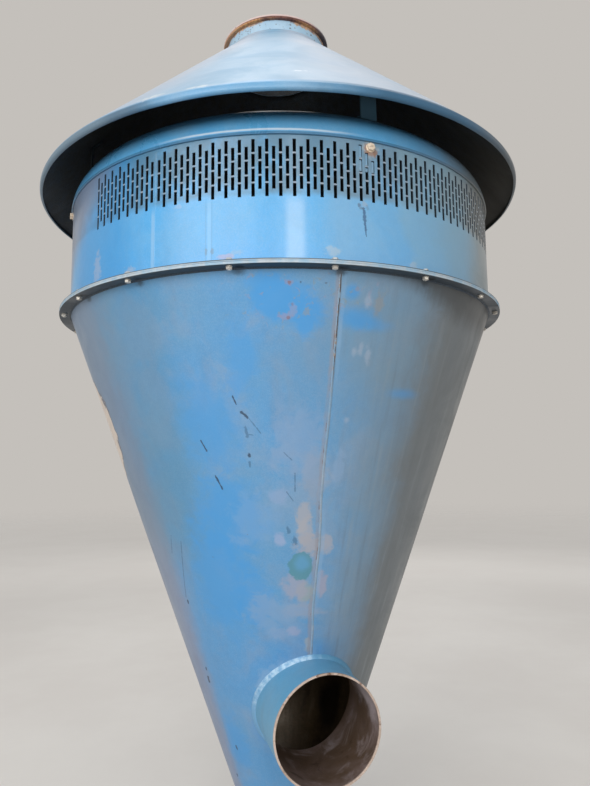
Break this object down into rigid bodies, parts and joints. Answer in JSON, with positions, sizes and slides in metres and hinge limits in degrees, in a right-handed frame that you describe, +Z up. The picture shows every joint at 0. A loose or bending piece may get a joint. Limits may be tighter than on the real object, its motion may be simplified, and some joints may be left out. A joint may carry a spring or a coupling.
{
  "type": "cyclone separator",
  "caption": "Upright cyclone separator: slotted drum on a long cone, bolted body flange, radial side pipe, open conical hood with a collar, flanged bottom outlet.",
  "frame": {"origin": "centre of the outlet flange's lower face", "axes": "+Z up along the cyclone's axis, -Y towards the front, where the side pipe is; +X to the right seen from the front"},
  "size_m": [1.1438, 1.1438, 1.996],
  "materials": {
    "blue_paint": "semi-gloss light blue paint over sheet steel, worn and dusty",
    "pale_paint": "semi-gloss pale blue paint over sheet steel",
    "gasket": "matt black sheet gasket",
    "rusty_steel": "bare steel hoop with brown surface rust",
    "bare_steel": "bare and zinc-plated steel of bolts, nuts and cut edges"
  },
  "bodies": {
    "root": {"outlet_flange": "blue_paint", "outlet_spigot": "blue_paint", "cone_front": "blue_paint", "cone_right": "blue_paint", "cone_back": "blue_paint", "cone_left": "blue_paint", "cone_seam": "blue_paint", "side_pipe": "blue_paint", "lower_flange": "blue_paint", "flange_gasket": "gasket", "upper_flange": "blue_paint", "slot_panel_1": "blue_paint", "slot_panel_2": "blue_paint", "slot_panel_3": "blue_paint", "slot_panel_4": "blue_paint", "slot_panel_5": "blue_paint", "slot_panel_6": "blue_paint", "slot_panel_7": "blue_paint", "slot_panel_8": "blue_paint", "slot_panel_9": "blue_paint", "slot_panel_10": "blue_paint", "plain_panel": "blue_paint", "shoulder_front": "blue_paint", "shoulder_right": "blue_paint", "shoulder_back": "blue_paint", "shoulder_left": "blue_paint", "ring_cleat_1": "blue_paint", "ring_cleat_2": "blue_paint", "ring_cleat_3": "blue_paint", "ring_cleat_4": "blue_paint", "hood_leg_1": "blue_paint", "hood_leg_2": "blue_paint", "hood_leg_3": "blue_paint", "hood_leg_4": "blue_paint", "hood_front": "pale_paint", "hood_right": "pale_paint", "hood_back": "pale_paint", "hood_left": "pale_paint", "lip_front": "blue_paint", "lip_right": "blue_paint", "lip_back": "blue_paint", "lip_left": "blue_paint", "top_collar": "pale_paint", "collar_hoop": "rusty_steel"}
  },
  "joints": []
}
